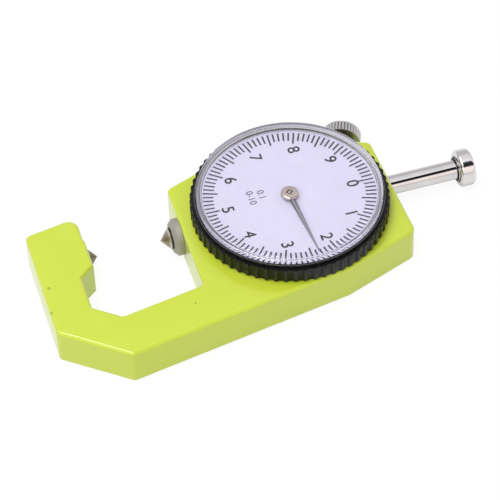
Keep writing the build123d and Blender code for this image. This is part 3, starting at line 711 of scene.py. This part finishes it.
def paint(piece, material):
    """Gives a piece one finish all over."""
    piece.data.materials.clear()
    piece.data.materials.append(material)


def settle(piece, name, body, material):
    """Names and paints a finished piece, and lets it ride on its body."""
    applied(piece)
    piece.name = name
    piece.data.name = name
    paint(piece, material)
    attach(piece, body)


def stands_for(piece, node_name):
    """A piece that takes the place, the body and the finish of one solid."""
    slot_name = SLOTS[node_name]
    body = frame["nodes"][node_name]["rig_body"]
    settle(piece, node_name + "_finished", body, FINISHES[slot_name])
    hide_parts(node_name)
    return piece


def joined(pieces):
    """Several pieces made one."""
    only(pieces[0])
    for piece in pieces:
        piece.select_set(True)
    bpy.ops.object.join()
    return pieces[0]


def smooth_copy(node_name):
    """A copy of a solid's mesh with its corners joined and its round faces shaded smooth."""
    piece = bpy.data.objects.new(node_name, frame["nodes"][node_name].data.copy())
    bpy.context.scene.collection.objects.link(piece)
    only(piece)
    bpy.ops.object.mode_set(mode="EDIT")
    bpy.ops.mesh.select_all(action="SELECT")
    bpy.ops.mesh.remove_doubles(threshold=MERGE_DISTANCE)
    bpy.ops.mesh.customdata_custom_splitnormals_clear()
    bpy.ops.object.mode_set(mode="OBJECT")
    bpy.ops.object.shade_smooth_by_angle(angle=SMOOTH_ANGLE)
    return piece


def shaded(piece):
    """Round faces smooth, corners crisp, and all faces turned outwards."""
    only(piece)
    bpy.ops.object.mode_set(mode="EDIT")
    bpy.ops.mesh.select_all(action="SELECT")
    bpy.ops.mesh.normals_make_consistent(inside=False)
    bpy.ops.object.mode_set(mode="OBJECT")
    bpy.ops.object.shade_smooth_by_angle(angle=SMOOTH_ANGLE)
    return piece


def disc(radius, bottom, top, sides=96, place=(0.0, 0.0)):
    """An upright cylinder between two levels."""
    centre = (*place, (bottom + top) / 2)
    bpy.ops.mesh.primitive_cylinder_add(
        vertices=sides, radius=radius, depth=top - bottom, location=centre
    )
    return applied(bpy.context.active_object)


def rod(radius, start, end, sides):
    """A cylinder on the spindle's axis, from one X to another."""
    centre = ((start + end) / 2, SPINDLE_AXIS.y, SPINDLE_AXIS.z)
    bpy.ops.mesh.primitive_cylinder_add(
        vertices=sides, radius=radius, depth=end - start, location=centre,
        rotation=(0, pi / 2, 0),
    )
    return applied(bpy.context.active_object)


def cone(bottom_radius, top_radius, bottom, depth, place):
    """An upright cone without its point, on its level."""
    bpy.ops.mesh.primitive_cone_add(
        vertices=48, radius1=bottom_radius, radius2=top_radius, depth=depth,
        location=(*place, bottom + depth / 2),
    )
    return applied(bpy.context.active_object)


def block(size, centre, turn):
    """A block, turned about the upright."""
    bpy.ops.mesh.primitive_cube_add(size=1, location=centre, rotation=(0, 0, turn), scale=size)
    return applied(bpy.context.active_object)


def on_circle(radius, turn):
    """The place at this angle on a circle round the pointer's axis."""
    return radius * cos(turn), radius * sin(turn)


def pick(piece, kind, wanted):
    """Selects the faces or edges that a test wants, and leaves the piece in edit mode."""
    only(piece)
    bpy.ops.object.mode_set(mode="EDIT")
    bpy.ops.mesh.select_mode(type=kind)
    bpy.ops.mesh.select_all(action="DESELECT")
    bpy.ops.object.mode_set(mode="OBJECT")
    mesh = piece.data
    for part in mesh.polygons if kind == "FACE" else mesh.edges:
        part.select = wanted([mesh.vertices[index].co for index in part.vertices])
    bpy.ops.object.mode_set(mode="EDIT")


def flat_at(axis, level):
    """A test for faces or edges whose every corner lies at one level of an axis."""
    return lambda corners: all(abs(corner[axis] - level) < NEAR for corner in corners)


def rim_at(axis, level, radius, centre=(0.0, 0.0, 0.0)):
    """A test for the edges of one round rim: at one level, and at one radius from the axis."""

    def test(corners):
        for corner in corners:
            away = [corner[i] - centre[i] for i in range(3) if i != axis]
            if abs(corner[axis] - level) > NEAR or abs(hypot(*away) - radius) > NEAR:
                return False
        return True

    return test


def rounded(piece, test, radius, segments=3):
    """Rounds the edges that a test wants."""
    pick(piece, "EDGE", test)
    bpy.ops.mesh.bevel(offset=radius, segments=segments, profile=0.5)
    bpy.ops.object.mode_set(mode="OBJECT")


def inset(piece, test, margin=FLAT_MARGIN, move=None):
    """Insets the faces that a test wants and, with a move, pulls them out or pushes them in."""
    pick(piece, "FACE", test)
    bpy.ops.mesh.inset(thickness=margin)
    if move:
        bpy.ops.mesh.extrude_region_move(TRANSFORM_OT_translate={"value": move})
    bpy.ops.object.mode_set(mode="OBJECT")


def cut(piece, tool):
    """Takes the shape of a tool away from a piece."""
    only(piece)
    modifier = piece.modifiers.new("cut", "BOOLEAN")
    modifier.object = tool
    modifier.operation = "DIFFERENCE"
    modifier.solver = "EXACT"
    modifier.use_self = True
    bpy.ops.object.modifier_apply(modifier="cut")
    bpy.data.objects.remove(tool)


def make_crystal():
    """The clear cap: a flat top with a rounded shoulder on a thin wall."""
    low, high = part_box("crystal")
    radius, top = high.x, high.z - SEAT_CLEARANCE
    ceiling = top - CRYSTAL_TOP_THICKNESS
    cap = disc(radius, low.z, top, CRYSTAL_SIDES)
    inset(cap, flat_at(Z, low.z), CRYSTAL_WALL, (0, 0, ceiling - low.z))
    rounded(cap, rim_at(Z, top, radius), CRYSTAL_SHOULDER, segments=8)
    rounded(cap, rim_at(Z, ceiling, radius - CRYSTAL_WALL), CRYSTAL_INNER_ROUND, segments=6)
    inset(cap, flat_at(Z, top))
    inset(cap, flat_at(Z, ceiling))
    stands_for(shaded(cap), "crystal")


def make_hub():
    """The pointer's hub: a flat cap with a bright edge, and the arbor's end in a square socket."""
    low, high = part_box("pointer_hub")
    radius, top = high.x, high.z - HUB_NUB_HEIGHT
    hub = disc(radius, low.z, top)
    rounded(hub, rim_at(Z, top, radius), HUB_ROUND, segments=6)
    floor = top - HUB_SOCKET_DEPTH
    cut(hub, disc(HUB_SOCKET_RADIUS, floor, top + HUB_SOCKET_DEPTH, sides=4))
    nub = disc(HUB_NUB_RADIUS, floor - HUB_NUB_ROOT, high.z, sides=24)
    rounded(nub, rim_at(Z, high.z, HUB_NUB_RADIUS), HUB_NUB_ROUND)
    stands_for(shaded(joined([hub, nub])), "pointer_hub")


def make_bezel():
    """The knurled ring: hollow flutes up to a flat shoulder, and a rounded lip on it."""
    low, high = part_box("bezel")
    radius, shoulder = high.x, high.z - SHOULDER_DROP
    seat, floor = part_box("crystal")[1].x + SEAT_CLEARANCE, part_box("dial_plate")[0].z
    lip, top = seat + LIP_WALL, shoulder + LIP_HEIGHT
    body = disc(radius, low.z, shoulder, sides=256)
    inset(body, flat_at(Z, shoulder), radius - lip, (0, 0, LIP_HEIGHT))
    rounded(body, rim_at(Z, shoulder, radius), SHOULDER_ROUND)
    rounded(body, rim_at(Z, top, lip), LIP_ROUND, segments=5)
    cut(body, disc(seat, floor, top + SEAT_CUTTER_OVER, sides=256))
    foot, head = low.z - CUTTER_REACH, low.z + CUTTER_REACH
    cut(body, disc(BEZEL_BORE, foot, head, sides=192))
    cut(body, disc(SNAP_RING_BORE, low.z + BEZEL_STEP, floor + STEP_CUTTER_OVER, sides=192))
    away = radius + FLUTE_RADIUS - FLUTE_DEPTH
    places = [on_circle(away, 2 * pi * k / FLUTES) for k in range(FLUTES)]
    cut(body, joined([disc(FLUTE_RADIUS, foot, head, 32, spot) for spot in places]))
    stands_for(shaded(body), "bezel")


def make_knob():
    """The lifting knob with its rounded rims, and the collar at its neck."""
    low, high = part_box("lifting_knob")
    radius, front = (high.y - low.y) / 2, low.x + KNOB_NECK
    head = rod(radius, front, high.x, sides=96)
    rounded(head, rim_at(X, high.x, radius, SPINDLE_AXIS), KNOB_END_ROUND, segments=6)
    rounded(head, rim_at(X, front, radius, SPINDLE_AXIS), KNOB_FRONT_ROUND, segments=6)
    inset(head, flat_at(X, high.x))
    start = low.x - KNOB_NECK_OVERLAP
    collar = rod(KNOB_NECK_RADIUS, start, front + KNOB_NECK_OVERLAP, sides=64)
    rounded(collar, rim_at(X, start, KNOB_NECK_RADIUS, SPINDLE_AXIS), KNOB_NECK_ROUND)
    stands_for(shaded(joined([head, collar])), "lifting_knob")


def make_back():
    """The back cover with four countersunk cross-slotted screws, all flush with the back."""
    low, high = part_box("back_cover")
    cover = disc(high.x, low.z, high.z, sides=128)
    rounded(cover, rim_at(Z, low.z, high.x), COVER_ROUND)
    screws = []
    for k in range(COVER_SCREWS):
        turn = pi / 4 + 2 * pi * k / COVER_SCREWS
        place = on_circle(SCREW_CIRCLE, turn)
        hole_bottom = low.z - SCREW_HOLE_OVER
        hole_radius = SCREW_HEAD + SCREW_GAP
        cut(cover, cone(hole_radius, SCREW_HOLE_FOOT, hole_bottom, SCREW_HOLE_LENGTH, place))
        screw = cone(SCREW_HEAD, SCREW_FOOT, low.z + SCREW_SUNK, SCREW_LENGTH, place)
        for slot_turn in (turn, turn + pi / 2):
            cut(screw, block(SCREW_SLOT, (*place, low.z), slot_turn))
        screws.append(screw)
    stands_for(shaded(cover), "back_cover")
    steel = FINISHES["pin_steel"]
    settle(shaded(joined(screws)), "cover_screws", "gauge_body", steel)


def make_return_spring():
    """The return spring, drawn out at rest, as a smoothed copy with a mesh of its own.
    How far it would shorten towards its post as the jaws close is worked out but not applied.
    """
    spring = stands_for(smooth_copy("return_spring"), "return_spring")
    post = sum(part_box("spring_post"), Vector()) / 2
    pin = sum(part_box("guide_pin"), Vector()) / 2
    slide = next(joint for joint in frame["joints"] if joint["name"] == "spindle_slide")
    shut, opened = slide["range_m"]
    travel, drawn_out = opened - shut, pin.x - post.x
    1 - travel / drawn_out
    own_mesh(spring)


def make_dial_marks():
    """The ring of division lines, longer at every whole and half figure."""
    bars = []
    for index in range(DIVISIONS):
        line = LONG_MARK if index % (DIVISIONS // FIGURES // 2) == 0 else SHORT_MARK
        turn = ZERO_ANGLE - 2 * pi * index / DIVISIONS
        place = on_circle(MARK_OUTER_RADIUS - line / 2, turn)
        size = (line, MARK_WIDTH, INK_HEIGHT)
        bars.append(block(size, (*place, DIAL_TOP + INK_HEIGHT / 2), turn))
    settle(joined(bars), "dial_marks", "bezel_group", INK)


def lettering(words, size, x, y):
    """Flat print on the dial that reads with its top towards the lifting knob."""
    bpy.ops.object.text_add(location=(x, y, DIAL_TOP), rotation=(0, 0, -pi / 2))
    text = bpy.context.active_object
    text.data.body = words
    text.data.size = size
    text.data.align_x = "CENTER"
    text.data.align_y = "CENTER"
    text.data.extrude = INK_HEIGHT
    only(text)
    bpy.ops.object.convert(target="MESH")
    return bpy.context.active_object


def make_dial_figures():
    """The figures 0 to 9, clockwise and printed bold, and the two plain notes on the dial."""
    words = []
    for figure in range(FIGURES):
        x, y = on_circle(FIGURE_RADIUS, ZERO_ANGLE - 2 * pi * figure / FIGURES)
        for along, across in ((0.0, 0.0), (BOLD_SPREAD, BOLD_SPREAD), (0.0, BOLD_SPREAD)):
            place = (x + along, y + FIGURE_SHIFT + across)
            words.append(lettering(str(figure), FIGURE_SIZE, *place))
    for note, x, y in NOTES:
        words.append(lettering(note, NOTE_SIZE, x, y))
    settle(joined(words), "dial_figures", "bezel_group", INK)


def make_floor():
    """A plain pale floor that glows white from above and keeps a soft shadow of the gauge."""
    bpy.ops.mesh.primitive_plane_add(size=FLOOR_SIZE, location=(0, 0, cad_low.z - FLOOR_DROP))
    floor = bpy.context.active_object
    floor.name = "floor"
    pale = Finish("pale_floor", (0.8, 0.8, 0.8, 1.0), roughness=0.9)
    glow = pale.node("ShaderNodeEmission", {}, {"Color": WHITE, "Strength": FLOOR_GLOW})
    seen = pale.ray("Is Camera Ray") * GLOW_FOR_CAMERA + pale.ray("Is Glossy Ray") * GLOW_IN_MIRRORS
    glowing = pale.blend_in(seen.clamped(), glow)
    from_below = pale.node("ShaderNodeNewGeometry", {}, {}, "Backfacing")
    clear = pale.node("ShaderNodeBsdfTransparent", {}, {})
    pale.show(pale.node("ShaderNodeMixShader", {}, {0: from_below, 1: glowing, 2: clear}))
    paint(floor, pale.material)


def make_world():
    """White to the camera, an even grey on matt faces, and the sky's steps in mirrors and glass."""
    world = bpy.data.worlds.new("studio")
    world.use_nodes = True
    bpy.context.scene.world = world
    sky = Nodes(world.node_tree)
    direction = sky.node("ShaderNodeTexCoord", {}, {}, "Generated")
    across = sky.node("ShaderNodeSeparateXYZ", {}, {0: direction}, "Y")
    up = sky.node("ShaderNodeSeparateXYZ", {}, {0: direction}, "Z")
    turn = sky.node("ShaderNodeMath", {"operation": "ARCTAN2"}, {0: up, 1: 0.0 - across})
    stops = [(place, (*light, 1.0)) for place, light in SKY_STEPS]
    mirrored = sky.steps(turn / pi, stops)
    in_mirrors = (sky.ray("Is Glossy Ray") + sky.ray("Is Transmission Ray")).clamped()
    grey = (LIGHT_ON_MATT_FACES, LIGHT_ON_MATT_FACES, LIGHT_ON_MATT_FACES, 1.0)
    plain = sky.mix(in_mirrors, grey, mirrored)
    colour = sky.mix(sky.ray("Is Camera Ray"), plain, WHITE)
    sky.plug(sky.tree.nodes["Background"].inputs["Color"], colour)


def make_lamp(name, place, width, depth, power):
    """A soft box that looks at the gauge."""
    data = bpy.data.lights.new(name, "AREA")
    data.shape = "RECTANGLE"
    data.size = width
    data.size_y = depth
    data.energy = power
    lamp = bpy.data.objects.new(name, data)
    bpy.context.scene.collection.objects.link(lamp)
    lamp.location = place
    lamp.rotation_mode = "QUATERNION"
    lamp.rotation_quaternion = (-Vector(place)).to_track_quat("-Z", "Y")


def make_camera():
    """The camera, turned as the picture shows the gauge."""
    to_right = (AXIS_IN_PICTURE[0] - PICTURE_SIZE / 2) / FOCAL_PIXELS
    to_top = (PICTURE_SIZE / 2 - AXIS_IN_PICTURE[1]) / FOCAL_PIXELS
    tilt = Matrix(
        (
            (1, 0, 0),
            (0, sin(CAMERA_ELEVATION), cos(CAMERA_ELEVATION)),
            (0, -cos(CAMERA_ELEVATION), sin(CAMERA_ELEVATION)),
        )
    )
    turn = Matrix.Rotation(CAMERA_ROLL, 3, "Z") @ tilt @ Matrix.Rotation(CAMERA_TURN, 3, "Z")
    seen = turn.transposed() @ (Vector((to_right, to_top, -1.0)) * CAMERA_DISTANCE)
    place = Vector((0, 0, DIAL_TOP + AIM_OVER_DIAL)) - seen
    data = bpy.data.cameras.new("camera")
    data.sensor_width = SENSOR_WIDTH
    data.lens = SENSOR_WIDTH * FOCAL_PIXELS / PICTURE_SIZE
    data.clip_start = CLIP_START
    camera = bpy.data.objects.new("camera", data)
    bpy.context.scene.collection.objects.link(camera)
    camera.matrix_world = Matrix.Translation(place) @ turn.transposed().to_4x4()
    bpy.context.scene.camera = camera


bpy.context.scene.view_settings.view_transform = "Standard"
make_camera()
make_world()
make_floor()
for lamp_settings in LAMPS:
    make_lamp(*lamp_settings)
dress_nodes()
make_dial_marks()
make_dial_figures()
make_crystal()
make_hub()
make_bezel()
make_knob()
make_back()
make_return_spring()
for solid in SMOOTHED_SOLIDS:
    stands_for(smooth_copy(solid), solid)
